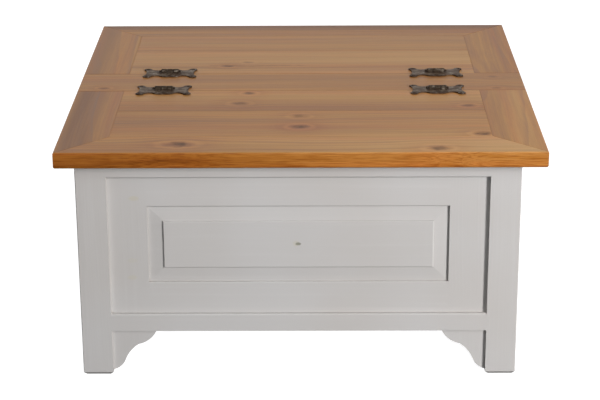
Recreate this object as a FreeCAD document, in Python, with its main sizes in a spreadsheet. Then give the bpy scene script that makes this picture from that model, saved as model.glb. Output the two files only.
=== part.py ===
import FreeCAD, Part
import math
import os
import re
import Sketcher

# A square trunk coffee table in painted and waxed pine. The carcass is legs, rails and
# framed panels. The top is a fixed centre strip with a leaf hinged on each side of it,
# and each leaf lifts to open the chest below.
#
# Frame: millimetres, X to the right, Y to the rear, Z up. The origin is on the floor,
# under the centre of the top. One side, one corner and one leaf are drawn at the front
# or the front left, and the others are the same thing turned about the Z axis. The
# whole carcass then moves a little to the left, so the top overhangs more on its right.

DIMENSIONS = {
    # the whole table
    "TopSize": 900,
    "TotalHeight": 461,
    "TopThick": 31,
    "Overhang": 38,
    "CarcassShift": -5,
    # legs and the rails flush with them
    "LegSize": 57,
    "FootChamfer": 6,
    "LegArris": 1.5,
    "RailDeep": 40,
    "RailArris": 3,
    "TopRailTall": 31,
    "LowRailTall": 35,
    "LowRailBase": 91.5,
    "TenonLong": 28,
    "TenonThick": 12,
    "TenonInset": 14,
    "TenonShoulder": 6,
    # the recessed frame and its raised panel
    "FrameRecess": 8,
    "FrameThick": 22,
    "StileWide": 73.5,
    "UpperRailWide": 59,
    "LowerRailWide": 62.5,
    "OpeningArris": 2,
    "GrooveDeep": 8,
    "GrooveSetback": 5,
    "TongueThick": 6,
    "TongueGap": 1,
    "BevelWide": 29,
    "BevelRise": 2.5,
    "FieldStep": 3,
    "FieldArris": 2,
    # ogee corner brackets under the low rails
    "BracketWide": 84,
    "BracketTall": 82,
    "BracketThick": 20,
    "BracketRecess": 6,
    "UpperLobe": 47,
    "MiddleSweep": 65,
    "LowerLobe": 32.5,
    # the floor of the chest
    "CleatSize": 20,
    "CleatEndGap": 5,
    "FloorThick": 12,
    # the top
    "TopRailWide": 94,
    "StripWide": 122,
    "SeamGap": 1,
    "FrontJoint": 135,
    "RearJoint": 174,
    "JointArris": 0.5,
    "UpperRound": 2.5,
    "LowerRound": 5,
    "BearerWide": 60,
    "BattenWide": 45,
    "BattenThick": 18,
    "BattenInset": 200,
    "BattenRailGap": 12,
    "BattenSeamGap": 24,
    "BattenChamfer": 5,
    # hinges
    "HingeInset": 174,
    "HingeStagger": 4,
    "HingeHalf": 55,
    "HingeThick": 2.5,
    "TailHalf": 49,
    "TailRound": 34,
    "LobeWide": 16,
    "LobeBase": 24,
    "LobeRound": 8.2,
    "WaistRound": 12.5,
    "CrestHalf": 22,
    "CrestBase": 19,
    "CrestDip": 25,
    "CrestRound": 19,
    "BarrelHalf": 18,
    "BarrelRadius": 5,
    "BarrelLift": 0.4,
    "CollarStep": 0.4,
    "CollarLong": 1.4,
    "KnuckleGap": 0.4,
    "SwingGap": 0.7,
    "PinRadius": 1.5,
    "PinClearance": 0.05,
    "FinialRadius": 2.5,
    # wood screws
    "ShankRadius": 1.9,
    "ShankTaper": 0.2,
    "HeadRadius": 3.6,
    "HeadDeep": 2,
    "HeadCrown": 0.9,
    "ScrewLong": 19,
    "SlotWide": 0.8,
    "SlotDeep": 0.6,
    "LongScrew": 28,
}

# lengths that many pieces share, worked out from the sheet
HALF_BODY = "(TopSize / 2 - Overhang)"
BODY_TOP = "(TotalHeight - TopThick)"
LEG_INNER = "(TopSize / 2 - Overhang - LegSize)"
RAIL_INNER = "(TopSize / 2 - Overhang - RailDeep)"
FRAME_BASE = "(LowRailBase + LowRailTall)"
FRAME_TOP = "(TotalHeight - TopThick - TopRailTall)"
FRAME_FACE = "(-TopSize / 2 + Overhang + FrameRecess)"
TONGUE_FACE = "(-TopSize / 2 + Overhang + FrameRecess + GrooveSetback)"
OPENING_HALF = "(TopSize / 2 - Overhang - LegSize - StileWide)"
OPENING_BASE = "(LowRailBase + LowRailTall + LowerRailWide)"
OPENING_TOP = "(TotalHeight - TopThick - TopRailTall - UpperRailWide)"
SEAM_EDGE = "(StripWide / 2 + SeamGap / 2)"
LEAF_INNER = "(TopSize / 2 - TopRailWide)"
BARREL_HIGH = "(BarrelRadius + BarrelLift)"
KNUCKLE_COUNT = 3
KNUCKLE_PITCH = f"(2 * BarrelHalf / {KNUCKLE_COUNT})"

SIDES = {"front": 0, "right": 90, "rear": 180, "left": 270}
CORNERS = {"front_left": 0, "front_right": 90, "rear_right": 180, "rear_left": 270}
KNUCKLES = {"fixed": (0, 2), "moving": (1,)}
SCREW_HOLES = (
    ("-HingeHalf + LobeWide / 2", "LobeBase"),
    ("0", "CrestBase - 2"),
    ("HingeHalf - LobeWide / 2", "LobeBase"),
)

DOC = FreeCAD.newDocument("trunk_coffee_table")
SHEET = DOC.addObject("Spreadsheet::Sheet", "Dims")
for row, (alias, number) in enumerate(DIMENSIONS.items(), start=1):
    SHEET.set(f"A{row}", alias)
    SHEET.set(f"B{row}", str(number))
    SHEET.setAlias(f"B{row}", alias)
DOC.recompute()

PIECES = []


# ---- small tools -------------------------------------------------------------------

def formula(text):
    """Turn each word of the sheet, such as LegSize, into a reference to its cell."""
    return re.sub(r"\b([A-Z][A-Za-z]+)", r"Dims.\1", text)


def value(text):
    """The number that a formula gives now."""
    return float(SHEET.evalExpression(formula(text)))


def bind(item, **formulas):
    """Bind properties of an object to formulas in the sheet."""
    for name, text in formulas.items():
        item.setExpression(name, formula(text))


def bind_place(item, corner):
    """Bind an object's position to three formulas."""
    for axis, text in zip("xyz", corner):
        item.setExpression("Placement.Base." + axis, formula(text))


def turned(angle):
    """A turn about the table's vertical axis."""
    upright = FreeCAD.Vector(0, 0, 1)
    return FreeCAD.Placement(FreeCAD.Vector(), FreeCAD.Rotation(upright, angle))


def keep_piece(item, label, angle=0, shift="0"):
    """Name an object as a piece of the table, turn it to its side and shift it along X."""
    item.Label = label
    item.Placement = turned(angle)
    bind_place(item, (shift, "0", "0"))
    PIECES.append(item)
    return item


def new_body(name):
    return DOC.addObject("PartDesign::Body", name)


def block(body, name, size, corner, take_away=False):
    """Add a box to a body, or take one away."""
    kind = "PartDesign::SubtractiveBox" if take_away else "PartDesign::AdditiveBox"
    box = body.newObject(kind, name)
    bind(box, Length=size[0], Width=size[1], Height=size[2])
    bind_place(box, corner)
    return box


def round_bar(body, name, radius, length, centre, take_away=False):
    """Add a cylinder along X to a body, or take one away."""
    kind = "PartDesign::SubtractiveCylinder" if take_away else "PartDesign::AdditiveCylinder"
    bar = body.newObject(kind, name)
    bind(bar, Radius=radius, Height=length)
    along_x = FreeCAD.Rotation(FreeCAD.Vector(0, 1, 0), 90)
    bar.Placement = FreeCAD.Placement(FreeCAD.Vector(), along_x)
    bind_place(bar, (f"{centre[0]} - ({length}) / 2", centre[1], centre[2]))
    return bar


def edges_of(feature, wanted):
    """Names of the edges of a feature whose bounding box passes a test."""
    DOC.recompute()
    edges = enumerate(feature.Shape.Edges, start=1)
    return [f"Edge{number}" for number, edge in edges if wanted(edge.BoundBox)]


def chamfer(body, feature, wanted, size):
    cut = body.newObject("PartDesign::Chamfer", "chamfer")
    cut.Base = (feature, edges_of(feature, wanted))
    bind(cut, Size=size)
    return cut


def fillet(body, feature, wanted, radius):
    rounded = body.newObject("PartDesign::Fillet", "fillet")
    rounded.Base = (feature, edges_of(feature, wanted))
    bind(rounded, Radius=radius)
    return rounded


def arc_between(start, end, radius):
    """An arc from start to end: counter-clockwise, or clockwise for a negative radius."""
    chord = end - start
    reach = math.sqrt(radius * radius - (chord.Length / 2) ** 2)
    left = FreeCAD.Vector(-chord.y, chord.x, 0).normalize()
    centre = (start + end) * 0.5 + left * math.copysign(reach, radius)
    circle = Part.Circle(centre, FreeCAD.Vector(0, 0, 1), abs(radius))
    first, last = (start, end) if radius > 0 else (end, start)
    angles = [math.atan2(p.y - centre.y, p.x - centre.x) for p in (first, last)]
    if angles[1] < angles[0]:
        angles[1] += 2 * math.pi
    return Part.ArcOfCircle(circle, angles[0], angles[1])


def outline(body, name, plane, points):
    """A closed sketch through points (x, y) or (x, y, radius), where a radius makes the
    stretch to the next point an arc: outward if positive, inward if negative."""
    sketch = body.newObject("Sketcher::SketchObject", name)
    origin = [item for item in body.Origin.OriginFeatures if item.Role == plane]
    sketch.AttachmentSupport = [(origin[0], "")]
    sketch.MapMode = "FlatFace"
    places = [FreeCAD.Vector(value(point[0]), value(point[1]), 0) for point in points]
    ends = []
    for number, point in enumerate(points):
        start, end = places[number], places[(number + 1) % len(places)]
        if len(point) == 3:
            radius = value(point[2])
            sketch.addGeometry(arc_between(start, end, radius), False)
            ends.append((1, 2) if radius > 0 else (2, 1))
            fixed = sketch.addConstraint(Sketcher.Constraint("Radius", number, abs(radius)))
            sketch.setExpression(f"Constraints[{fixed}]", formula(f"abs({point[2]})"))
        else:
            sketch.addGeometry(Part.LineSegment(start, end), False)
            ends.append((1, 2))
    for number, point in enumerate(points):
        after = (number + 1) % len(points)
        sketch.addConstraint(
            Sketcher.Constraint("Coincident", number, ends[number][1], after, ends[after][0]))
        for kind, text in (("DistanceX", point[0]), ("DistanceY", point[1])):
            distance = Sketcher.Constraint(kind, -1, 1, number, ends[number][0], value(text))
            fixed = sketch.addConstraint(distance)
            sketch.setExpression(f"Constraints[{fixed}]", formula(text))
    return sketch


def pad(body, sketch, length):
    extrusion = body.newObject("PartDesign::Pad", "pad")
    extrusion.Profile = sketch
    bind(extrusion, Length=length)
    return extrusion


def group(label, members, angle=0, shift="0"):
    """Several separate solids as one piece of the table."""
    together = DOC.addObject("Part::Compound", label)
    together.Links = members
    return keep_piece(together, label, angle, shift)


def mirror(source):
    """The same thing on the other side of the YZ plane."""
    other = DOC.addObject("Part::Mirroring", source.Name + "_mirrored")
    other.Source = source
    other.Normal = FreeCAD.Vector(1, 0, 0)
    return other


# ---- the carcass -------------------------------------------------------------------

def make_leg(corner, angle):
    """A square post with a chamfered foot, an eased outer corner and four mortises."""
    leg = new_body(f"leg_{corner}")
    post = block(leg, "post", ("LegSize", "LegSize", BODY_TOP),
                 (f"-{HALF_BODY}", f"-{HALF_BODY}", "0"))
    foot = chamfer(leg, post, lambda box: box.ZMax < 1, "FootChamfer")
    middle = -value(HALF_BODY) + value("LegSize") / 2
    chamfer(leg, foot, lambda box: box.ZLength > value(BODY_TOP) / 2
            and box.XMax < middle and box.YMax < middle, "LegArris")
    for base, tall in (("LowRailBase", "LowRailTall"), (FRAME_TOP, "TopRailTall")):
        size = ["TenonLong", "TenonThick", f"{tall} - 2 * TenonShoulder"]
        place = [f"-{LEG_INNER} - TenonLong", f"-{HALF_BODY} + TenonInset"]
        height = f"{base} + TenonShoulder"
        block(leg, "mortise", size, place + [height], take_away=True)
        size[:2] = reversed(size[:2])
        block(leg, "mortise", size, place[::-1] + [height], take_away=True)
    keep_piece(leg, f"leg_{corner}", angle, "CarcassShift")


def ease_front(body, feature, height, radius):
    """Round the front edge of a bar along X that lies at a height."""
    level = value(height)

    def front_edge(box):
        at_front = box.YMax < feature.Shape.BoundBox.YMin + 0.01
        return at_front and abs(box.ZMin - level) < 0.01 and abs(box.ZMax - level) < 0.01

    fillet(body, feature, front_edge, radius)


def make_rail(label, angle, base, tall, eased):
    """A rail between two legs, flush with them, with a tenon at each end. Its front edge
    next to the frame is eased."""
    rail = new_body(label)
    bar = block(rail, "rail", (f"2 * {LEG_INNER}", "RailDeep", tall),
                (f"-{LEG_INNER}", f"-{HALF_BODY}", base))
    ease_front(rail, bar, eased, "RailArris")
    block(rail, "tenons",
          (f"2 * ({LEG_INNER} + TenonLong)", "TenonThick", f"{tall} - 2 * TenonShoulder"),
          (f"-{LEG_INNER} - TenonLong", f"-{HALF_BODY} + TenonInset", f"{base} + TenonShoulder"))
    keep_piece(rail, label, angle, "CarcassShift")


def make_stiles(side, angle):
    """The two uprights of the recessed frame, grooved for the panel."""
    stile = new_body(f"{side}_stile")
    block(stile, "stile", ("StileWide", "FrameThick", f"{FRAME_TOP} - {FRAME_BASE}"),
          (f"-{LEG_INNER}", FRAME_FACE, FRAME_BASE))
    block(stile, "groove", ("GrooveDeep", "TongueThick", f"{FRAME_TOP} - {FRAME_BASE}"),
          (f"-{OPENING_HALF} - GrooveDeep", TONGUE_FACE, FRAME_BASE), take_away=True)
    group(f"{side}_stiles", [stile, mirror(stile)], angle, "CarcassShift")


def make_frame_rail(label, angle, base, wide, eased, groove_base):
    """A cross piece of the frame: an eased edge along the opening, stub tongues on its
    ends and a groove for the panel."""
    rail = new_body(label)
    bar = block(rail, "rail", (f"2 * {OPENING_HALF}", "FrameThick", wide),
                (f"-{OPENING_HALF}", FRAME_FACE, base))
    ease_front(rail, bar, eased, "OpeningArris")
    block(rail, "tongues", (f"2 * ({OPENING_HALF} + GrooveDeep)", "TongueThick", wide),
          (f"-{OPENING_HALF} - GrooveDeep", TONGUE_FACE, base))
    block(rail, "groove", (f"2 * ({OPENING_HALF} + GrooveDeep)", "TongueThick", "GrooveDeep"),
          (f"-{OPENING_HALF} - GrooveDeep", TONGUE_FACE, groove_base), take_away=True)
    keep_piece(rail, label, angle, "CarcassShift")


def make_panel(side, angle):
    """A raised and fielded panel, loose in its grooves, with the field's rim eased."""
    panel = new_body(f"{side}_panel")
    tongue = "(GrooveDeep - TongueGap)"
    bevel_face = f"({TONGUE_FACE} - BevelRise)"
    block(panel, "tongue",
          (f"2 * ({OPENING_HALF} + {tongue})", "TongueThick",
           f"{OPENING_TOP} - {OPENING_BASE} + 2 * {tongue}"),
          (f"-{OPENING_HALF} - {tongue}", TONGUE_FACE, f"{OPENING_BASE} - {tongue}"))
    bevel = panel.newObject("PartDesign::AdditiveWedge", "bevel")
    bind(bevel, Ymin=bevel_face, Ymax=TONGUE_FACE,
         Xmin=f"-{OPENING_HALF} + BevelWide", Xmax=f"{OPENING_HALF} - BevelWide",
         Zmin=f"{OPENING_BASE} + BevelWide", Zmax=f"{OPENING_TOP} - BevelWide",
         X2min=f"-{OPENING_HALF}", X2max=OPENING_HALF,
         Z2min=OPENING_BASE, Z2max=OPENING_TOP)
    field = block(panel, "field",
                  (f"2 * ({OPENING_HALF} - BevelWide)", "FieldStep",
                   f"{OPENING_TOP} - {OPENING_BASE} - 2 * BevelWide"),
                  (f"-{OPENING_HALF} + BevelWide", f"{bevel_face} - FieldStep",
                   f"{OPENING_BASE} + BevelWide"))
    face = value(f"{bevel_face} - FieldStep") + 0.01
    fillet(panel, field, lambda box: box.YMax < face, "FieldArris")
    keep_piece(panel, f"{side}_panel", angle, "CarcassShift")


def make_brackets(side, angle):
    """Two ogee brackets in the corners under the low rail: lobe, sweep and lobe."""
    bracket = new_body(f"{side}_bracket")
    edge = outline(bracket, "ogee", "XZ_Plane", [
        ("0", "0", "LowerLobe"),
        ("0.28 * BracketWide", "0.245 * BracketTall", "-MiddleSweep"),
        ("0.595 * BracketWide", "0.645 * BracketTall", "UpperLobe"),
        ("BracketWide", "0.975 * BracketTall"),
        ("BracketWide", "BracketTall"),
        ("0", "BracketTall"),
    ])
    pad(bracket, edge, "BracketThick")
    bind_place(bracket, (f"-{LEG_INNER}", f"-{HALF_BODY} + BracketRecess + BracketThick",
                         "LowRailBase - BracketTall"))
    group(f"{side}_brackets", [bracket, mirror(bracket)], angle, "CarcassShift")


def make_floor():
    """Boards along X on four cleats, notched round the legs."""
    count = 6
    pitch = f"(2 * {RAIL_INNER} / {count})"
    low = "(LowRailBase + LowRailTall - FloorThick)"
    boards = []
    for number in range(count):
        board = DOC.addObject("Part::Box", "floor_board")
        bind(board, Length=f"2 * {RAIL_INNER}", Width=pitch, Height="FloorThick")
        bind_place(board, (f"-{RAIL_INNER}", f"-{RAIL_INNER} + {number} * {pitch}", low))
        boards.append(board)
    posts = []
    for x_side in (-1, 1):
        for y_side in (-1, 1):
            post = DOC.addObject("Part::Box", "post_space")
            bind(post, Length="LegSize", Width="LegSize", Height=BODY_TOP)
            centre = f"({LEG_INNER} + LegSize / 2)"
            bind_place(post, (f"{x_side} * {centre} - LegSize / 2",
                              f"{y_side} * {centre} - LegSize / 2", "0"))
            posts.append(post)
    planks = DOC.addObject("Part::Compound", "planks")
    planks.Links = boards
    notches = DOC.addObject("Part::Compound", "notches")
    notches.Links = posts
    floor = DOC.addObject("Part::Cut", "floor_boards")
    floor.Base = planks
    floor.Tool = notches
    keep_piece(floor, "floor_boards", shift="CarcassShift")

    cleats = []
    for side, angle in SIDES.items():
        cleat = new_body(f"{side}_cleat")
        block(cleat, "cleat", (f"2 * ({LEG_INNER} - CleatEndGap)", "CleatSize", "CleatSize"),
              (f"-{LEG_INNER} + CleatEndGap", f"-{RAIL_INNER}", f"{low} - CleatSize"))
        cleat.Placement = turned(angle)
        cleats.append(cleat)
    group("floor_cleats", cleats, shift="CarcassShift")


# ---- the top -----------------------------------------------------------------------

def make_plank(label, angle, corners):
    """A flat board of the top, with its top joint edges eased and its outer edges round."""
    plank = new_body(label)
    board = pad(plank, outline(plank, "face", "XY_Plane", corners), "TopThick")
    rim = value("TopSize / 2") - 0.01
    thick = value("TopThick")

    def outer(box):
        level = box.ZLength < 0.01
        at_side = max(abs(box.XMin), abs(box.XMax)) > rim and box.XLength < 0.01
        at_end = max(abs(box.YMin), abs(box.YMax)) > rim and box.YLength < 0.01
        return level and (at_side or at_end)

    def joint(box):
        flat_on_top = box.ZMin > thick - 0.01
        on_rim = max(abs(box.XMin), abs(box.XMax), abs(box.YMin), abs(box.YMax)) > rim
        return flat_on_top and not (on_rim and outer(box))

    shaped = chamfer(plank, board, joint, "JointArris")
    if edges_of(shaped, outer):
        shaped = fillet(plank, shaped, lambda box: outer(box) and box.ZMin > thick / 2,
                        "UpperRound")
        fillet(plank, shaped, lambda box: outer(box) and box.ZMax < thick / 2, "LowerRound")
    keep_piece(plank, label, angle)
    bind_place(plank, ("0", "0", BODY_TOP))


def rectangle(x_low, x_high, y_low, y_high):
    return [(x_low, y_low), (x_high, y_low), (x_high, y_high), (x_low, y_high)]


def make_leaf(name, angle, joint):
    """A lifting leaf: a mitred rail, two side rails, two boards and two battens."""
    half = "(TopSize / 2)"
    middle = f"({SEAM_EDGE} + {joint})"
    hands = ("left", "right") if angle == 0 else ("right", "left")
    planks = {
        f"{name}_leaf_edge_rail": [
            (f"-{half}", f"-{half}"), (half, f"-{half}"),
            (LEAF_INNER, f"-{LEAF_INNER}"), (f"-{LEAF_INNER}", f"-{LEAF_INNER}")],
        f"{name}_leaf_{hands[0]}_rail": [
            (f"-{half}", f"-{half}"), (f"-{LEAF_INNER}", f"-{LEAF_INNER}"),
            (f"-{LEAF_INNER}", f"-{SEAM_EDGE}"), (f"-{half}", f"-{SEAM_EDGE}")],
        f"{name}_leaf_{hands[1]}_rail": [
            (half, f"-{half}"), (half, f"-{SEAM_EDGE}"),
            (LEAF_INNER, f"-{SEAM_EDGE}"), (LEAF_INNER, f"-{LEAF_INNER}")],
        f"{name}_leaf_outer_board": rectangle(
            f"-{LEAF_INNER}", LEAF_INNER, f"-{LEAF_INNER}", f"-{middle}"),
        f"{name}_leaf_hinge_board": rectangle(
            f"-{LEAF_INNER}", LEAF_INNER, f"-{middle}", f"-{SEAM_EDGE}"),
    }
    for label, corners in planks.items():
        make_plank(label, angle, corners)

    batten = new_body(f"{name}_leaf_batten")
    length = f"({RAIL_INNER} - BattenRailGap - {SEAM_EDGE} - BattenSeamGap)"
    bar = block(batten, "bar", ("BattenWide", length, "BattenThick"),
                ("-TopSize / 2 + BattenInset - BattenWide / 2",
                 f"-{RAIL_INNER} + BattenRailGap", f"{BODY_TOP} - BattenThick"))
    lowest = value(f"{BODY_TOP} - BattenThick") + 0.01
    chamfer(batten, bar, lambda box: box.ZMax < lowest, "BattenChamfer")
    group(f"{name}_leaf_battens", [batten, mirror(batten)], angle)


def make_strip():
    """The fixed strip between the leaves and the bearer that it is screwed down to."""
    half = "(TopSize / 2)"
    edge = "(StripWide / 2 - SeamGap / 2)"
    make_plank("centre_strip", 0, rectangle(f"-{half}", half, f"-{edge}", edge))
    bearer = new_body("centre_bearer")
    block(bearer, "bearer", (f"2 * {RAIL_INNER}", "BearerWide", "TopRailTall"),
          (f"-{RAIL_INNER}", "-BearerWide / 2", FRAME_TOP))
    keep_piece(bearer, "centre_bearer", shift="CarcassShift")


# ---- hinges and screws -------------------------------------------------------------

def hinge_x(x_side, y_side):
    """Where a hinge is along its seam. The front right and the rear left ones are set
    a little further in than the other two."""
    stagger = "0" if x_side == y_side else "HingeStagger"
    return f"{x_side} * (TopSize / 2 - HingeInset - {stagger})"


def make_hinge_leaves(seam, angle, role):
    """Both hinge plates of one kind on one seam: a plate with two lobes and a crest,
    and its share of the three knuckles in the middle. The fixed plate lies on the strip
    and the moving one on the leaf."""
    label = f"{seam}_hinge_{role}_plates"
    plate = new_body(label.rstrip("s"))
    lobes = outline(plate, "lobes", "XY_Plane", [
        ("-TailHalf", "SeamGap / 2"), ("TailHalf", "SeamGap / 2", "-TailRound"),
        ("HingeHalf", "LobeBase", "LobeRound"),
        ("HingeHalf - LobeWide", "LobeBase", "-WaistRound"),
        ("CrestHalf", "CrestBase", "CrestRound"), ("0", "CrestDip", "CrestRound"),
        ("-CrestHalf", "CrestBase", "-WaistRound"),
        ("-HingeHalf + LobeWide", "LobeBase", "LobeRound"),
        ("-HingeHalf", "LobeBase", "-TailRound"),
    ])
    pad(plate, lobes, "HingeThick")
    notch = f"{KNUCKLE_PITCH} + 2 * KnuckleGap"
    for number in range(KNUCKLE_COUNT):
        start = f"(-BarrelHalf + {number} * {KNUCKLE_PITCH})"
        if number in KNUCKLES[role]:
            continue
        block(plate, "notch", (notch, "2 * (BarrelRadius + SwingGap)", "HingeThick"),
              (f"{start} - KnuckleGap", "-BarrelRadius - SwingGap", "0"), take_away=True)
    for number in KNUCKLES[role]:
        centre = (f"(-BarrelHalf + {number + 0.5} * {KNUCKLE_PITCH})", "0", BARREL_HIGH)
        round_bar(plate, "knuckle", "BarrelRadius - CollarStep",
                  f"{KNUCKLE_PITCH} - KnuckleGap", centre)
        round_bar(plate, "collar", "BarrelRadius",
                  f"{KNUCKLE_PITCH} - KnuckleGap - 2 * CollarLong", centre)
    bore = "PinRadius" if role == "fixed" else "PinRadius + PinClearance"
    round_bar(plate, "bore", bore, "2 * HingeHalf", ("0", "0", BARREL_HIGH), take_away=True)
    for x, y in SCREW_HOLES:
        sink = plate.newObject("PartDesign::SubtractiveCone", "countersink")
        bind(sink, Radius1="ShankRadius", Radius2="HeadRadius", Height="HeadDeep")
        bind_place(sink, (x, y, "HingeThick - HeadDeep"))
        hole = plate.newObject("PartDesign::SubtractiveCylinder", "hole")
        bind(hole, Radius="ShankRadius", Height="HingeThick")
        bind_place(hole, (x, y, "0"))
    facing = turned(0 if role == "fixed" else 180)
    plate.Placement = facing
    bind_place(plate, (hinge_x(-1, -1), "-StripWide / 2", "TotalHeight"))
    other = mirror(plate)
    bind_place(other, ("-HingeStagger", "0", "0"))
    group(label, [plate, other], angle)


def make_hinge_pins():
    """A pin with a round finial at each end for each of the four hinges."""
    pins = []
    for x_side in (-1, 1):
        for y_side in (-1, 1):
            centre = (hinge_x(x_side, y_side), f"{y_side} * StripWide / 2",
                      f"TotalHeight + {BARREL_HIGH}")
            rod = DOC.addObject("Part::Cylinder", "rod")
            along_x = FreeCAD.Rotation(FreeCAD.Vector(0, 1, 0), 90)
            rod.Placement = FreeCAD.Placement(FreeCAD.Vector(), along_x)
            bind(rod, Radius="PinRadius", Height="2 * (BarrelHalf + FinialRadius)")
            bind_place(rod, (f"{centre[0]} - BarrelHalf - FinialRadius", *centre[1:]))
            solids = [rod]
            for end in (-1, 1):
                finial = DOC.addObject("Part::Sphere", "finial")
                bind(finial, Radius="FinialRadius")
                bind_place(finial, (f"{centre[0]} + {end} * (BarrelHalf + FinialRadius)",
                                    *centre[1:]))
                solids.append(finial)
            pin = DOC.addObject("Part::MultiFuse", "hinge_pin")
            pin.Shapes = solids
            pins.append(pin)
    group("hinge_pins", pins)


def make_screw(place, length, upward=False):
    """A slotted oval-head wood screw. Its place is where the head's rim is, and it runs
    down from there, or up if it is driven from below."""
    turn = 180 if upward else 0
    across = FreeCAD.Rotation(FreeCAD.Vector(1, 0, 0), turn)
    way = -1 if upward else 1
    x, y, z = place
    tip = "2 * ShankRadius"
    stretches = (
        ("crown", "HeadRadius", "HeadRadius / 2", "HeadCrown", "0"),
        ("head", "ShankRadius", "HeadRadius", "HeadDeep", "-HeadDeep"),
        ("shank", "ShankRadius - ShankTaper", "ShankRadius", f"({length}) - {tip}",
         f"-HeadDeep - ({length}) + {tip}"),
        ("tip", "ShankTaper", "ShankRadius - ShankTaper", tip, f"-HeadDeep - ({length})"),
    )
    solids = []
    for name, low, high, tall, start in stretches:
        cone = DOC.addObject("Part::Cone", name)
        cone.Placement = FreeCAD.Placement(FreeCAD.Vector(), across)
        bind(cone, Radius1=low, Radius2=high, Height=tall)
        bind_place(cone, (x, y, f"{z} + {way} * ({start})"))
        solids.append(cone)
    body = DOC.addObject("Part::MultiFuse", "screw_body")
    body.Shapes = solids
    slot = DOC.addObject("Part::Box", "slot")
    slot.Placement = FreeCAD.Placement(FreeCAD.Vector(), across)
    bind(slot, Length="2 * HeadRadius", Width="SlotWide", Height="SlotDeep")
    bind_place(slot, (f"{x} - HeadRadius", f"{y} - {way} * SlotWide / 2",
                      f"{z} + {way} * (HeadCrown - SlotDeep)"))
    screw = DOC.addObject("Part::Cut", "screw")
    screw.Base = body
    screw.Tool = slot
    return screw


def hinge_screws(role, y_sides):
    """The screws of all the hinge plates of one kind on some of the seams."""
    screws = []
    lean = 1 if role == "moving" else -1
    for x_side in (-1, 1):
        for y_side in y_sides:
            for x, y in SCREW_HOLES:
                place = (f"{hinge_x(x_side, y_side)} + {x}",
                         f"{y_side} * (StripWide / 2 + {lean} * {y})",
                         "TotalHeight + HingeThick")
                screws.append(make_screw(place, "ScrewLong"))
    return screws


def make_screws():
    group("centre_strip_hinge_screws", hinge_screws("fixed", (-1, 1)))
    bearer_screws = [
        make_screw((f"{step} * {RAIL_INNER} / 3", "0", FRAME_TOP), "LongScrew + TopRailTall / 2",
                   upward=True) for step in (-2, 0, 2)]
    group("centre_strip_bearer_screws", bearer_screws, shift="CarcassShift")
    for name, y_side in (("front", -1), ("rear", 1)):
        group(f"{name}_leaf_hinge_screws", hinge_screws("moving", (y_side,)))
        screws = []
        for x_side in (-1, 1):
            for step in (0.1, 0.37, 0.63, 0.9):
                near = f"({SEAM_EDGE} + BattenSeamGap)"
                far = f"({RAIL_INNER} - BattenRailGap)"
                place = (f"{x_side} * (TopSize / 2 - BattenInset)",
                         f"{y_side} * ({near} + {step} * ({far} - {near}))",
                         f"{BODY_TOP} - BattenThick")
                screws.append(make_screw(place, "LongScrew", upward=True))
        group(f"{name}_leaf_batten_screws", screws)


# ---- build, check and write --------------------------------------------------------

def make_table():
    for corner, angle in CORNERS.items():
        make_leg(corner, angle)
    for side, angle in SIDES.items():
        make_rail(f"{side}_top_rail", angle, FRAME_TOP, "TopRailTall", FRAME_TOP)
        make_rail(f"{side}_low_rail", angle, "LowRailBase", "LowRailTall", FRAME_BASE)
        make_stiles(side, angle)
        make_frame_rail(f"{side}_upper_frame_rail", angle, OPENING_TOP, "UpperRailWide",
                        OPENING_TOP, OPENING_TOP)
        make_frame_rail(f"{side}_lower_frame_rail", angle, FRAME_BASE, "LowerRailWide",
                        OPENING_BASE, f"{OPENING_BASE} - GrooveDeep")
        make_panel(side, angle)
        make_brackets(side, angle)
    make_floor()
    make_strip()
    for name, angle, joint in (("front", 0, "FrontJoint"), ("rear", 180, "RearJoint")):
        make_leaf(name, angle, joint)
        for role in KNUCKLES:
            make_hinge_leaves(name, angle, role)
    make_hinge_pins()
    make_screws()


def check_and_write():
    DOC.recompute()
    for item in DOC.Objects:
        if "Invalid" in item.State or "Error" in item.State:
            raise SystemExit(f"{item.Name} failed: {item.State}")
    os.makedirs("parts", exist_ok=True)
    for piece in PIECES:
        shape = piece.Shape
        if shape.isNull() or not shape.isValid():
            raise SystemExit(f"{piece.Label} has no valid shape")
        shape.exportStep(f"parts/{piece.Label}.step")
        print(f"{piece.Label}: {len(shape.Solids)} solid(s), {shape.Volume / 1000:.2f} cm3")
    print(len(PIECES), "pieces")


make_table()
check_and_write()
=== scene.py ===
import math

import bpy
from mathutils import Matrix, Vector


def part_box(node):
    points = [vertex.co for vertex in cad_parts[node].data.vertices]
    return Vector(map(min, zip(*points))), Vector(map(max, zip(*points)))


# A square trunk coffee table: a painted pine chest under a waxed pine top, with two
# leaves on iron hinges. Every shape comes from the frame. This script gives each part
# its material, and sets the camera, the lights and the floor.
# Units are metres, +X to the right, +Y to the rear, +Z up.

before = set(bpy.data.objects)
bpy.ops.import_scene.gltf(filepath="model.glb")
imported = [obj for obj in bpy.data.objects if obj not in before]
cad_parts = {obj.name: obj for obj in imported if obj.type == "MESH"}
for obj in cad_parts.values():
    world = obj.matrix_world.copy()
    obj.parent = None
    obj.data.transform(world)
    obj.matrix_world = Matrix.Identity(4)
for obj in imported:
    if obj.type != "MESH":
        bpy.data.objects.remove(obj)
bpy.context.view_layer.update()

scene = bpy.context.scene

SKIN = 0.0005                        # a face this near a limit counts as inside it
AXES = {"X": 0, "Y": 1, "Z": 2}

floor_low, floor_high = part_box("floor_boards")
strip_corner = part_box("centre_strip")[1]
chest_x = (floor_low.x + floor_high.x) / 2
chest_base = floor_high.z - SKIN
chest_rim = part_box("leg_front_left")[1].z - SKIN


# ---- node graphs -------------------------------------------------------------------

# A Mix node has sockets for every kind of data. These are the ones for colours.
MIX_LOW, MIX_HIGH, MIX_RESULT = 6, 7, 2


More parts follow.
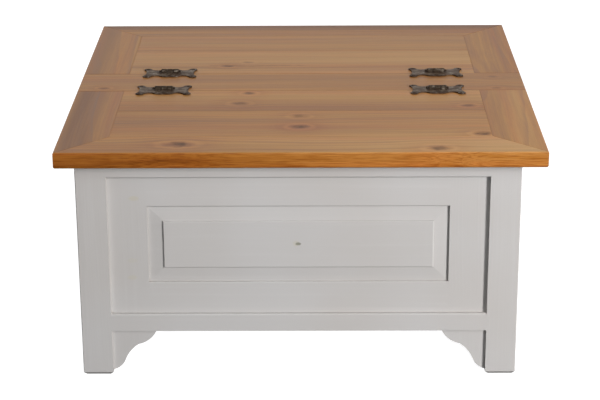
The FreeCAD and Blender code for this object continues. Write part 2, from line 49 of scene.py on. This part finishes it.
class Graph:
    """A material's node tree, with one short call for each kind of node. A value is a
    plain number or a socket, and a colour is three numbers or a socket."""

    def __init__(self, name):
        self.material = bpy.data.materials.new(name)
        self.material.use_nodes = True
        self.tree = self.material.node_tree
        self.shader = self.tree.nodes["Principled BSDF"]
        coordinates = self.tree.nodes.new("ShaderNodeTexCoord")
        self.place = coordinates.outputs["Object"]
        self.facing = coordinates.outputs["Normal"]

    def feed(self, socket, value):
        """Link a socket to another one, or give it a plain value."""
        if isinstance(value, bpy.types.NodeSocket):
            self.tree.links.new(value, socket)
        else:
            socket.default_value = value

    def add(self, kind, inputs=(), **settings):
        """A new node, with its inputs fed and its settings made."""
        node = self.tree.nodes.new("ShaderNode" + kind)
        for name, value in settings.items():
            setattr(node, name, value)
        for name, value in dict(inputs).items():
            self.feed(node.inputs[name], value)
        return node

    def math(self, operation, *values):
        node = self.add("Math", operation=operation)
        for socket, value in zip(node.inputs, values):
            self.feed(socket, value)
        return node.outputs[0]

    def plus(self, *values):
        total = values[0]
        for value in values[1:]:
            total = self.math("ADD", total, value)
        return total

    def minus(self, a, b):
        return self.math("SUBTRACT", a, b)

    def times(self, *values):
        total = values[0]
        for value in values[1:]:
            total = self.math("MULTIPLY", total, value)
        return total

    def absolute(self, value):
        return self.math("ABSOLUTE", value)

    def around(self, value, spread):
        """A 0 to 1 value as a swing of plus and minus spread."""
        return self.times(self.minus(value, 0.5), 2 * spread)

    def fade(self, value, low, high, low_out=0.0, high_out=1.0):
        """A smooth step from low_out to high_out as the value goes from low to high."""
        node = self.add("MapRange", {
            "Value": value, "From Min": low, "From Max": high,
            "To Min": low_out, "To Max": high_out}, interpolation_type="SMOOTHSTEP")
        return node.outputs["Result"]

    def split(self, vector):
        return self.add("SeparateXYZ", {"Vector": vector}).outputs

    def join(self, x, y, z):
        return self.add("CombineXYZ", {"X": x, "Y": y, "Z": z}).outputs["Vector"]

    def noise(self, vector, scale=1.0, detail=2.0, rough=0.5):
        """A 0 to 1 noise. For a vector in metres, the scale is in waves to the metre."""
        node = self.add("TexNoise", {
            "Vector": vector, "Scale": scale, "Detail": detail, "Roughness": rough})
        return node.outputs["Fac"]

    def ramp(self, value, stops, interpolation="LINEAR"):
        """Colours, or greys from single numbers, at places along a value."""
        node = self.add("ValToRGB", {"Fac": value})
        band = node.color_ramp
        band.interpolation = interpolation
        while len(band.elements) < len(stops):
            band.elements.new(1.0)
        for element, (place, colour) in zip(band.elements, stops):
            element.position = place
            grey = isinstance(colour, (int, float))
            element.color = (colour,) * 3 + (1.0,) if grey else (*colour, 1.0)
        return node.outputs["Color"]

    def mix(self, factor, low, high, blend_type="MIX"):
        """Low where the factor is 0 and high where it is 1, for colours."""
        node = self.add("Mix", data_type="RGBA", blend_type=blend_type, clamp_factor=True)
        self.feed(node.inputs["Factor"], factor)
        for index, colour in ((MIX_LOW, low), (MIX_HIGH, high)):
            plain = not isinstance(colour, bpy.types.NodeSocket)
            self.feed(node.inputs[index], (*colour, 1.0) if plain else colour)
        return node.outputs[MIX_RESULT]

    def glaze(self, factor, colour, tint):
        """The colour, multiplied by a tint where the factor is 1."""
        return self.mix(factor, colour, tint, "MULTIPLY")

    def bump(self, height, distance, **others):
        """A normal tilted by a height, where a height of 1 stands for a distance in metres.
        Others are more of the node's inputs."""
        inputs = {"Height": height, "Distance": distance, "Strength": 1.0, **others}
        return self.add("Bump", inputs).outputs["Normal"]

    def finish(self, colour, roughness, normal, **constants):
        """Feed the shader. The constants' names are its inputs', with _ for each space."""
        self.feed(self.shader.inputs["Base Color"], colour)
        self.feed(self.shader.inputs["Roughness"], roughness)
        self.feed(self.shader.inputs["Normal"], normal)
        for name, value in constants.items():
            self.shader.inputs[name.replace("_", " ")].default_value = value
        return self.material


def seam_distance(g):
    """How far a point is, front to rear, from the nearer seam of the centre strip."""
    return g.absolute(g.minus(g.absolute(g.split(g.place)[AXES["Y"]]), strip_corner.y))


# ---- pine --------------------------------------------------------------------------

# Wood colours by tone, from 0, dark and red, to 1, light and yellow.
WAXED = ((0.0, (0.2, 0.07, 0.013)), (0.35, (0.362, 0.143, 0.024)),
         (0.6, (0.5, 0.236, 0.054)), (1.0, (0.68, 0.385, 0.143)))
BARE = ((0.0, (0.34, 0.19, 0.08)), (0.35, (0.5, 0.31, 0.145)),
        (0.6, (0.62, 0.42, 0.21)), (1.0, (0.74, 0.55, 0.32)))
BARE_TONE = 0.55
TONE_LIFT = 0.04                     # makes up for the late wood, which only darkens

# Glazes, which multiply the wood's colour.
RED_STREAK = (1.07, 0.86, 0.78)
# Painted shade on the upright faces of the boards, which makes them darker and more orange
# than their tops.
UPRIGHT_SHADE = (0.9, 0.71, 0.48)
EDGE_LINE = (0.72, 0.62, 0.45)

# Stains, which take its place.
KNOT_HEART = (0.085, 0.042, 0.02)
DARK_STAIN = (0.215, 0.083, 0.022)
END_GRAIN = (0.2, 0.09, 0.025)

# Where a glaze or stain starts and where it is full: by a seam as a distance, and on a
# face as the part of its normal that lies along an axis.
SEAM_LINE = (0.0035, 0.001)
UPRIGHT_FACE = (0.85, 0.4)
END_FACE = (0.6, 0.9)
SEAM_STRENGTH = 0.5
END_STRENGTH = 0.4

# A knot's heart and pale ring, as squared distances from its middle in its own radii.
HEART_EDGE = (1.5, -0.4)
PALE_START, PALE_END = (1.2, 2.6), (6.5, 3.0)
KNOT_DECAY = 0.11                    # how fast the grain straightens away from a knot
KNOT_PUSH = 0.8                      # how far the knot pushes it aside

# Late wood grows darker over most of a year and ends sharply, in parts of the year.
LATE_START, LATE_END = (0.2, 0.85), (1.0, 0.9)
GRAIN_WANDER = 0.02                  # how far the rings wander sideways

WAXED_ROUGHNESS, BARE_ROUGHNESS = 0.4, 0.55
WOOD_RELIEF = 0.0002

# How far fields of a board's figure move its tone, its roughness and its height.
TONE_SWINGS = {"bands": 0.55, "fibres": 0.16}
TONE_SHIFTS = {"late": -0.17, "halo": -0.22, "pale": 0.2, "canals": -0.12}
ROUGH_SWINGS = {"bands": 0.1, "fibres": 0.07}
ROUGH_SHIFTS = {"late": -0.04, "heart": 0.08}
HEIGHT_SHIFTS = {"late": 0.5, "fibres": 0.6, "canals": -0.6, "heart": -0.8}


def moved(g, start, figure, swings, shifts):
    """A value moved by fields of the figure. A swing goes both ways from a field's middle,
    and a shift goes one way as the field goes from 0 to 1."""
    terms = [g.around(figure[field], amount) for field, amount in swings.items()]
    terms += [g.times(figure[field], amount) for field, amount in shifts.items()]
    return g.plus(start, *terms)


def bend_round_knots(g, run, across, knots):
    """The across coordinate, bent so that the grain flows round the knots, and three
    fields: the knots' dark hearts, their wide halos, and a pale ring round each heart."""
    heart, halo, pale = 0.0, 0.0, 0.0
    for knot_run, knot_across, half_length, half_width, darkness in knots:
        off_run = g.times(g.minus(run, knot_run), 1 / half_length)
        off_across = g.minus(across, knot_across)
        off_wide = g.times(off_across, 1 / half_width)
        ragged = g.plus(g.around(g.noise(g.place, 70.0, 3.0, 0.6), 1.5), -0.1)
        squared = g.plus(g.times(off_run, off_run), g.times(off_wide, off_wide), ragged)
        near = g.math("EXPONENT", g.times(squared, -KNOT_DECAY))
        across = g.minus(across, g.times(off_across, near, KNOT_PUSH))
        heart = g.plus(heart, g.times(g.fade(squared, *HEART_EDGE), darkness))
        halo = g.plus(halo, g.times(near, darkness))
        ring = g.times(g.fade(squared, *PALE_START), g.fade(squared, *PALE_END))
        pale = g.plus(pale, g.times(ring, darkness))
    return across, {"heart": heart, "halo": halo, "pale": pale}


def late_wood(g, run, across, deep, wander, pith, seed, spacing):
    """The dark late wood of the growth rings round a pith line, each year with its own
    vigour."""
    side = g.minus(g.plus(across, wander), pith[0])
    rise = g.plus(g.minus(deep, pith[1]), g.times(run, pith[2]))
    radius = g.math("SQRT", g.plus(g.times(side, side), g.times(rise, rise)))
    ripple = g.noise(g.join(g.plus(g.times(run, 7.0), seed), g.times(across, 70.0),
                            g.times(deep, 70.0)))
    pace = g.noise(g.join(g.times(radius, 42.0), seed, 0.0))
    count = g.plus(g.times(radius, 1 / spacing), g.around(ripple, 0.3), g.around(pace, 1.6))
    year = g.plus(g.math("FLOOR", count), seed)
    season = g.math("FRACT", count)
    vigour = g.add("TexWhiteNoise", {"W": year}, noise_dimensions="1D").outputs["Value"]
    return g.times(g.fade(season, *LATE_START), g.fade(season, *LATE_END), vigour)


def pine_figure(g, along, pith, seed, spacing, knots=()):
    """The figure of a sawn pine board, as separate fields: the places along and across it,
    late wood, soft bands, warmth, fine fibres, resin canals, and the knots' fields."""
    x, y, z = g.split(g.place)
    run, across, deep = {"X": (x, y, z), "Y": (y, x, z), "Z": (z, x, y)}[along]
    across, knot_fields = bend_round_knots(g, run, across, knots)
    flow = g.join(g.plus(g.times(run, 1.6), seed), g.times(across, 5.0), g.times(deep, 5.0))
    wander = g.around(g.noise(flow, 1.0, 1.0), GRAIN_WANDER)
    across = g.plus(across, g.times(wander, 0.5))

    def streaks(run_scale, cross_scale, detail=2.0, rough=0.5):
        """Noise drawn out along the board. Scales are in waves to the metre."""
        place = g.join(g.plus(g.times(run, run_scale), seed), g.times(across, cross_scale),
                       g.plus(g.times(deep, cross_scale), seed))
        return g.noise(place, 1.0, detail, rough)

    return {
        "run": run,
        "across": across,
        "late": late_wood(g, run, across, deep, wander, pith, seed, spacing),
        "bands": g.plus(g.times(streaks(0.9, 20.0), 0.4), g.times(streaks(1.6, 70.0), 0.35),
                        g.times(streaks(3.2, 230.0), 0.25)),
        "warmth": streaks(1.1, 32.0, 3.0, 0.6),
        "fibres": streaks(22.0, 620.0, 3.0, 0.6),
        "canals": g.fade(streaks(70.0, 1500.0, 1.0), 0.66, 0.76),
        **knot_fields,
    }


def pine_colour(g, figure, colours, tone):
    """The figure's colour round a tone, with red streaks and knots."""
    shade = moved(g, g.plus(tone, TONE_LIFT), figure, TONE_SWINGS, TONE_SHIFTS)
    warm = g.times(g.fade(figure["warmth"], 0.42, 0.68), 0.6)
    red = g.plus(warm, g.times(figure["halo"], 0.6))
    colour = g.glaze(red, g.ramp(shade, colours), RED_STREAK)
    return g.mix(figure["heart"], colour, KNOT_HEART)


def stained(g, colour, figure, place, stain):
    """The colour with a dark, cloudy stain (first edge, last edge, strength), whose edges
    are places from 0 to 1 across the board."""
    first, last, strength = stain
    within = g.times(g.fade(place, first - 0.15, first + 0.12),
                     g.fade(place, last + 0.2, last - 0.15))
    cloud = g.fade(figure["bands"], 0.36, 0.58, 0.2, 1.0)
    return g.mix(g.times(within, cloud, strength), colour, DARK_STAIN)


def waxed_seams_shaded_sides(g, colour, figure, facing):
    """The colour with deeper wax along the seams, painted shade on the upright faces, which
    makes them darker and more orange than the tops, and fine dark lines along the grain there.
    """
    near_seam = g.fade(seam_distance(g), *SEAM_LINE, 0.0, SEAM_STRENGTH)
    colour = g.glaze(near_seam, colour, EDGE_LINE)
    # Painted shade: the upright faces are glazed darker and more orange than the tops.
    upright = g.fade(g.absolute(facing[AXES["Z"]]), *UPRIGHT_FACE)
    colour = g.glaze(upright, colour, UPRIGHT_SHADE)
    line = g.fade(figure["fibres"], 0.55, 0.35)
    return g.glaze(g.times(upright, line), colour, EDGE_LINE)


def pine_board(node, along, pith, seed, spacing, tones=(), painted_light_drift=0.0, knots=(), stain=None):
    """The material of one board. Its grain runs along an axis, and its rings are spaced round
    a pith line (across, height, rise along the board). Tones are (place, tone) stops from one
    edge to the other, and a board with tones is waxed. Drift is how fast the tone rises along
    it, which paints light onto the board: lighter towards the right, where the key light
    stands. Knots are (run, across, half length, half width, darkness)."""
    g = Graph("pine_" + node)
    figure = pine_figure(g, along, pith, seed, spacing, knots)
    low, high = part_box(node)
    side = AXES["Y" if along == "X" else "X"]
    place = g.add("MapRange", {"Value": figure["across"], "From Min": low[side],
                               "From Max": high[side]}).outputs["Result"]
    tone = g.ramp(place, tones, "B_SPLINE") if tones else BARE_TONE
    # Painted light: the tone rises along the board, lighter towards the key light on the
    # right.
    if painted_light_drift:
        tone = g.plus(tone, g.times(figure["run"], painted_light_drift))
    colour = pine_colour(g, figure, WAXED if tones else BARE, tone)
    if stain:
        colour = stained(g, colour, figure, place, stain)
    facing = g.split(g.facing)
    if tones:
        colour = waxed_seams_shaded_sides(g, colour, figure, facing)
    end = g.fade(g.absolute(facing[AXES[along]]), *END_FACE)
    colour = g.mix(g.times(end, END_STRENGTH), colour, END_GRAIN)
    polish = WAXED_ROUGHNESS if tones else BARE_ROUGHNESS
    rough = moved(g, polish, figure, ROUGH_SWINGS, ROUGH_SHIFTS)
    height = moved(g, 0.0, figure, {}, HEIGHT_SHIFTS)
    specular = g.plus(0.5, g.times(figure["heart"], -0.25))
    g.feed(g.shader.inputs["Specular IOR Level"], specular)
    return g.finish(colour, rough, g.bump(height, WOOD_RELIEF))


# ---- paint and metal ---------------------------------------------------------------

PAINT = (0.575, 0.56, 0.55)
PAINT_WARM = (0.55, 0.525, 0.505)
PAINT_STREAK = (0.625, 0.612, 0.6)
# Painted shade: the paint's creases and recesses are darkened towards this colour, wherever
# ambient occlusion finds something within this reach.
CREASE_SHADE = (0.3, 0.25, 0.2)
CREASE_SHADE_REACH = 0.006
PAINT_ROUGHNESS = 0.55
PAINT_RELIEF = 0.0002
BRUSH_ALONG, BRUSH_ACROSS = 2.0, 90.0    # brush marks, in waves to the metre
UNDER_PAINT = dict(pith=(0.0, -0.3, 0.02), spacing=0.007)    # the pine's rings

CHIP = (0.24, 0.235, 0.18)
RESIN = (0.56, 0.52, 0.4)
# Marks on the front are (x, z, half width, half height, strength, colour).
FRONT_MARKS = {
    "panel": ((-0.0095, 0.2665, 0.006, 0.006, 0.4, RESIN),
              (-0.0055, 0.2655, 0.0055, 0.0032, 0.85, CHIP)),
    "stiles": ((-0.3102, 0.3565, 0.010, 0.005, 0.5, RESIN),
               (-0.3165, 0.2328, 0.010, 0.005, 0.2, RESIN),
               (-0.3177, 0.1983, 0.009, 0.005, 0.35, RESIN)),
}

PLATE_THICKNESS = 0.0025
PLATE_BROWN, PLATE_GREY = (0.12, 0.07, 0.042), (0.23, 0.17, 0.122)
BARREL_DARK = (0.055, 0.036, 0.022)      # whatever stands above the plates
LOBE_DARK = (0.05, 0.025, 0.013)         # the plates' ends away from the seam
LOBE_ENDS = (0.015, 0.023)               # how far from it they start and are darkest
IRON_GLINT = (0.42, 0.36, 0.29)
RIM_DARK = (0.035, 0.02, 0.013)
RIM_WIDTH = 0.0022
EASED_EDGE = 0.0007
IRON_ROUGHNESS = 0.55
IRON_RELIEF = 0.0005

ZINC_DARK, ZINC_LIGHT = (0.42, 0.41, 0.38), (0.62, 0.61, 0.56)
ZINC_ROUGHNESS = 0.3
ZINC_RELIEF = 0.0001


def paint(name, along, seed, inside=None, marks=()):
    """Satin paint, brushed along a piece of pine. The faces that look into the chest are
    bare: those less than inside from the chest's middle. Marks are as in FRONT_MARKS."""
    g = Graph(name)
    x, y, z = g.split(g.place)
    figure = pine_figure(g, along, seed=seed, **UNDER_PAINT)
    scales = [BRUSH_ALONG if axis == along else BRUSH_ACROSS for axis in "XYZ"]
    lanes = [g.plus(g.times(value, scale), seed) for value, scale in zip((x, y, z), scales)]
    brush = g.noise(g.join(*lanes), 1.0, 4.0, 0.65)
    cloud = g.noise(g.place, 3.5, 2.0)
    colour = g.mix(g.fade(cloud, 0.35, 0.75), PAINT, PAINT_WARM)
    colour = g.mix(g.times(g.fade(brush, 0.5, 0.75), 0.25), colour, PAINT_STREAK)
    # Painted shade in the creases: the paint is darkened, and made rougher, where ambient
    # occlusion finds it hemmed in.
    crease = g.add("AmbientOcclusion", {"Distance": CREASE_SHADE_REACH}, samples=8)
    crease_shading = g.fade(crease.outputs["AO"], 0.7, 0.3)
    colour = g.mix(g.times(crease_shading, 0.3), colour, CREASE_SHADE)
    for mark_x, mark_z, half_width, half_height, strength, tint in marks:
        across = g.times(g.minus(x, mark_x), 1 / half_width)
        up = g.times(g.minus(z, mark_z), 1 / half_height)
        ragged = g.around(g.noise(g.place, 260.0, 2.0), 0.5)
        spread = g.plus(g.times(across, across), g.times(up, up), ragged)
        colour = g.mix(g.times(g.fade(spread, 1.4, 0.3), strength), colour, tint)
    rough = g.plus(PAINT_ROUGHNESS, g.around(brush, 0.08), g.times(crease_shading, 0.2))
    if inside:
        sideways, endways = [g.math("LESS_THAN", g.absolute(distance), inside)
                             for distance in (g.minus(x, chest_x), y)]
        chest = g.times(sideways, endways, g.math("GREATER_THAN", z, chest_base),
                        g.math("LESS_THAN", z, chest_rim))
        colour = g.mix(chest, colour, pine_colour(g, figure, BARE, BARE_TONE))
        rough = g.plus(rough, g.times(chest, 0.12))
    height = g.plus(g.times(brush, 0.6), g.times(figure["late"], 0.25),
                    g.times(figure["fibres"], 0.1))
    return g.finish(colour, rough, g.bump(height, PAINT_RELIEF), Specular_IOR_Level=0.35)


def iron(name):
    """Cast iron, blackened, with a hammered face worn brown and grey inside a dark rim."""
    g = Graph(name)
    hammer = g.noise(g.place, 210.0, 3.0, 0.6)
    grain = g.noise(g.place, 1500.0, 2.0)
    blotch = g.noise(g.place, 90.0, 3.0)
    colour = g.mix(g.fade(blotch, 0.35, 0.65), PLATE_BROWN, PLATE_GREY)
    plate_top = strip_corner.z + PLATE_THICKNESS
    barrel = g.fade(g.split(g.place)[AXES["Z"]], plate_top + 0.0002, plate_top + 0.002)
    colour = g.mix(barrel, colour, BARREL_DARK)
    lobe = g.fade(seam_distance(g), *LOBE_ENDS, 0.0, 0.75)
    colour = g.mix(lobe, colour, LOBE_DARK)
    glint = g.times(g.fade(hammer, 0.52, 0.66), g.fade(blotch, 0.4, 0.6))
    colour = g.mix(g.times(glint, 0.7), colour, IRON_GLINT)
    rounded = g.add("Bevel", {"Radius": RIM_WIDTH}, samples=6).outputs["Normal"]
    flat = g.add("NewGeometry").outputs["Normal"]
    agreement = g.add("VectorMath", {0: rounded, 1: flat}, operation="DOT_PRODUCT")
    rim = g.fade(agreement.outputs["Value"], 0.97, 0.85)
    colour = g.mix(g.times(rim, 0.85), colour, RIM_DARK)
    rough = g.plus(IRON_ROUGHNESS, g.around(grain, 0.1), g.times(glint, -0.16))
    height = g.plus(hammer, g.times(grain, 0.15))
    eased = g.add("Bevel", {"Radius": EASED_EDGE}, samples=6).outputs["Normal"]
    return g.finish(colour, rough, g.bump(height, IRON_RELIEF, Normal=eased), Metallic=0.45)


def zinc(name):
    """Bright zinc plate with faint clouding."""
    g = Graph(name)
    cloud = g.noise(g.place, 400.0, 3.0)
    colour = g.mix(cloud, ZINC_DARK, ZINC_LIGHT)
    rough = g.plus(ZINC_ROUGHNESS, g.around(cloud, 0.12))
    return g.finish(colour, rough, g.bump(cloud, ZINC_RELIEF), Metallic=1.0)


# ---- the parts and their materials -------------------------------------------------

# The waxed boards, with what pine_board needs for each. Each drift paints light along its
# board, lighter towards the key light on the right.
TOP_BOARDS = {
    "front_leaf_edge_rail": dict(
        along="X", pith=(-0.30, 0.36, 0.02), seed=1.3, spacing=0.009, painted_light_drift=0.44,
        tones=((0.0, 0.56), (0.3, 0.58), (0.7, 0.65), (1.0, 0.56)),
        knots=((-0.225, -0.401, 0.021, 0.0125, 0.8), (0.253, -0.427, 0.017, 0.011, 0.7),
               (0.232, -0.452, 0.014, 0.006, 0.4))),
    "front_leaf_left_rail": dict(
        along="Y", pith=(-0.56, 0.30, 0.08), seed=4.1, spacing=0.013, stain=(0.1, 0.6, 0.9),
        tones=((0.0, 0.36), (0.35, 0.34), (0.62, 0.34), (0.8, 0.42), (1.0, 0.46))),
    "front_leaf_right_rail": dict(
        along="Y", pith=(0.31, 0.32, -0.06), seed=7.9, spacing=0.013,
        tones=((0.0, 0.38), (0.3, 0.4), (0.6, 0.62), (1.0, 0.54))),
    "front_leaf_outer_board": dict(
        along="X", pith=(-0.14, 0.36, 0.03), seed=11.7, spacing=0.008, painted_light_drift=0.2,
        tones=((0.0, 0.6), (0.15, 0.51), (0.4, 0.48), (0.7, 0.47), (0.9, 0.45), (1.0, 0.4)),
        knots=((-0.003, -0.298, 0.014, 0.010, 0.85), (-0.003, -0.232, 0.013, 0.010, 0.5),
               (0.34, -0.342, 0.014, 0.010, 0.8))),
    "front_leaf_hinge_board": dict(
        along="X", pith=(-0.30, 0.35, -0.02), seed=15.2, spacing=0.008, painted_light_drift=0.17,
        tones=((0.0, 0.36), (0.35, 0.42), (0.75, 0.59), (1.0, 0.57)),
        knots=((-0.104, -0.079, 0.010, 0.008, 0.6), (-0.121, -0.148, 0.013, 0.010, 0.5),
               (0.326, -0.166, 0.011, 0.008, 0.6))),
    "centre_strip": dict(
        along="X", pith=(0.16, 0.36, 0.02), seed=19.8, spacing=0.008,
        tones=((0.0, 0.42), (0.4, 0.46), (1.0, 0.42)),
        knots=((-0.398, -0.041, 0.009, 0.006, 0.6), (0.392, 0.033, 0.009, 0.007, 0.3),
               (0.392, -0.047, 0.009, 0.006, 0.3))),
    "rear_leaf_hinge_board": dict(
        along="X", pith=(0.34, 0.35, 0.02), seed=23.1, spacing=0.008, painted_light_drift=0.1,
        tones=((0.0, 0.64), (0.2, 0.66), (0.3, 0.3), (0.4, 0.7), (1.0, 0.56)),
        knots=((-0.156, 0.117, 0.010, 0.006, 0.6), (-0.113, 0.146, 0.010, 0.007, 0.3),
               (-0.09, 0.121, 0.09, 0.0045, 0.3))),
    "rear_leaf_outer_board": dict(
        along="X", pith=(0.15, 0.36, -0.03), seed=27.5, spacing=0.008,
        tones=((0.0, 0.46), (0.3, 0.5), (1.0, 0.54))),
    "rear_leaf_edge_rail": dict(
        along="X", pith=(0.54, 0.35, 0.03), seed=31.9, spacing=0.009,
        tones=((0.0, 0.46), (0.4, 0.42), (0.65, 0.22), (0.8, 0.02), (1.0, 0.0))),
    "rear_leaf_left_rail": dict(
        along="Y", pith=(-0.49, 0.30, 0.04), seed=36.4, spacing=0.013, stain=(0.05, 0.35, 0.5),
        tones=((0.0, 0.36), (0.4, 0.35), (1.0, 0.42))),
    "rear_leaf_right_rail": dict(
        along="Y", pith=(0.34, 0.31, 0.05), seed=40.2, spacing=0.013,
        tones=((0.0, 0.4), (0.5, 0.36), (1.0, 0.38))),
}

# Unpainted boards under the top and in the chest, with their grain's direction and seed.
BARE_BOARDS = {
    "centre_bearer": ("X", 52.0), "front_leaf_battens": ("Y", 55.0),
    "rear_leaf_battens": ("Y", 58.0), "floor_boards": ("X", 61.0), "floor_cleats": ("X", 64.0),
}

BARE_PITH = (0.02, -0.12, 0.04)
BARE_SPACING = 0.005

# The painted parts of each side, with their seed. Those not upright run with the side.
SIDE_PARTS = {
    "top_rail": 8, "low_rail": 8, "stiles": 6, "upper_frame_rail": 16,
    "lower_frame_rail": 16, "panel": 5, "brackets": 8,
}
UPRIGHT_PARTS = ("stiles", "brackets")
SIDE_SEED = 3.7
LEG_SEED = 80.0


def dress(node, material):
    """Give a CAD node one material all over."""
    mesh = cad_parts[node].data
    mesh.materials.clear()
    mesh.materials.append(material)


def dress_wood():
    for node, look in TOP_BOARDS.items():
        dress(node, pine_board(node, **look))
    for node, (along, seed) in BARE_BOARDS.items():
        dress(node, pine_board(node, along, BARE_PITH, seed, BARE_SPACING))


def dress_carcass():
    for number, side in enumerate(("front", "right", "rear", "left")):
        level, facing = ("X", "Y") if side in ("front", "rear") else ("Y", "X")
        marks = FRONT_MARKS if side == "front" else {}
        for part, seed in SIDE_PARTS.items():
            node = f"{side}_{part}"
            middle = chest_x if facing == "X" else 0.0
            reach = min(abs(corner[AXES[facing]] - middle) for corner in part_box(node))
            dress(node, paint("painted_" + node, "Z" if part in UPRIGHT_PARTS else level,
                              SIDE_SEED * number + seed,
                              inside=None if part == "brackets" else reach + SKIN,
                              marks=marks.get(part, ())))
    inner = abs(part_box("front_stiles")[1].y) + SKIN
    for number, corner in enumerate(("front_left", "front_right", "rear_right", "rear_left")):
        node = "leg_" + corner
        dress(node, paint("painted_" + node, "Z", LEG_SEED + number, inner))


def dress_metal():
    black, bright = iron("blackened_iron"), zinc("zinc_plate")
    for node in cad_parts:
        if "hinge" in node and "board" not in node:
            dress(node, black)
        elif "screws" in node:
            dress(node, bright)


# ---- camera, lights and floor ------------------------------------------------------

WHITE = (1.0, 1.0, 1.0)
CAMERA_PLACE = (0.0234, -3.6694, 1.546)
CAMERA_TURN = (("Z", 0.44), ("X", 69.926), ("Z", -0.31))     # heading, tilt, roll; degrees
CAMERA_LENS = 112.61                                         # mm
FLOOR_REACH = 40.0
FLOOR_DARK, FLOOR_LIGHT = (0.3, 0.3, 0.3), (0.31, 0.31, 0.31)
FLOOR_ROUGHNESS = 0.9
FLOOR_RELIEF = 0.0001


def make_camera():
    lens = bpy.data.cameras.new("camera")
    lens.lens = CAMERA_LENS
    camera = bpy.data.objects.new("camera", lens)
    placed = Matrix.Translation(CAMERA_PLACE)
    for axis, degrees in CAMERA_TURN:
        placed = placed @ Matrix.Rotation(math.radians(degrees), 4, axis)
    camera.matrix_world = placed
    scene.collection.objects.link(camera)
    scene.camera = camera


def soft_light(name, azimuth, elevation, distance, size, brightness, colour=WHITE,
               aim=(0.0, 0.0, 0.3), diffuse=True, glossy=True):
    """A soft box aimed at the table, from an azimuth to the right of the front. Brightness
    is what it gives to a white surface that faces it squarely. It can be left out of the
    diffuse light or out of the reflections."""
    light = bpy.data.lights.new(name, "AREA")
    light.shape = "RECTANGLE"
    light.size, light.size_y = size
    light.color = colour
    light.energy = brightness * math.pi ** 2 * distance ** 2
    lamp = bpy.data.objects.new(name, light)
    a, e = math.radians(azimuth), math.radians(elevation)
    way = Vector((math.sin(a) * math.cos(e), -math.cos(a) * math.cos(e), math.sin(e)))
    lamp.location = Vector(aim) + way * distance
    lamp.rotation_mode = "QUATERNION"
    lamp.rotation_quaternion = way.to_track_quat("Z", "Y")
    lamp.visible_diffuse = diffuse
    lamp.visible_glossy = glossy
    scene.collection.objects.link(lamp)


def make_lights():
    key = dict(azimuth=42, elevation=12, distance=5.4, size=(1.0, 2.1))
    soft_light("key", **key, brightness=0.98, colour=(1.0, 0.993, 0.995), glossy=False)
    soft_light("key_glint", **key, brightness=0.3, diffuse=False)
    soft_light("front_fill", azimuth=-10, elevation=14, distance=5.0, size=(3.0, 2.0),
               brightness=0.09, colour=(0.95, 0.98, 1.0))
    soft_light("upper_front", azimuth=15, elevation=38, distance=4.5, size=(2.4, 1.6),
               brightness=0.14, colour=(0.97, 0.99, 1.0))
    soft_light("overhead", azimuth=80, elevation=70, distance=2.6, size=(1.4, 1.4),
               brightness=0.235, colour=(1.0, 0.98, 0.92), aim=(0.1, -0.15, 0.45))
    soft_light("left_edge", azimuth=-84, elevation=6, distance=5.0, size=(1.0, 1.4),
               brightness=0.25, glossy=False)
    soft_light("rear_panel", azimuth=180, elevation=21, distance=5.5, size=(8.0, 3.0),
               brightness=0.204)
    soft_light("rear_left", azimuth=228, elevation=18, distance=5.5, size=(4.5, 2.8),
               brightness=0.6, glossy=False)


def make_floor():
    """A wide pale floor, which shines itself to show white, and lights nothing else."""
    corners = [(x * FLOOR_REACH, y * FLOOR_REACH, 0.0)
               for x, y in ((-1, -1), (1, -1), (1, 1), (-1, 1))]
    mesh = bpy.data.meshes.new("floor")
    mesh.from_pydata(corners, [], [(0, 1, 2, 3)])
    floor = bpy.data.objects.new("floor", mesh)
    scene.collection.objects.link(floor)
    g = Graph("studio_floor")
    cloud = g.noise(g.place, 1.5, 1.0)
    mesh.materials.append(g.finish(
        g.mix(cloud, FLOOR_DARK, FLOOR_LIGHT), FLOOR_ROUGHNESS, g.bump(cloud, FLOOR_RELIEF),
        Emission_Color=(*WHITE, 1.0), Emission_Strength=1.0, Specular_IOR_Level=0.0))
    floor.visible_diffuse = False
    floor.visible_glossy = False


def make_world():
    """A plain white surround, which is seen by the camera and lights nothing."""
    world = bpy.data.worlds.new("studio")
    world.use_nodes = True
    world.node_tree.nodes["Background"].inputs["Color"].default_value = (*WHITE, 1.0)
    world.cycles_visibility.diffuse = False
    world.cycles_visibility.glossy = False
    scene.world = world
    scene.view_settings.view_transform = "Standard"


dress_wood()
dress_carcass()
dress_metal()
make_camera()
make_lights()
make_floor()
make_world()
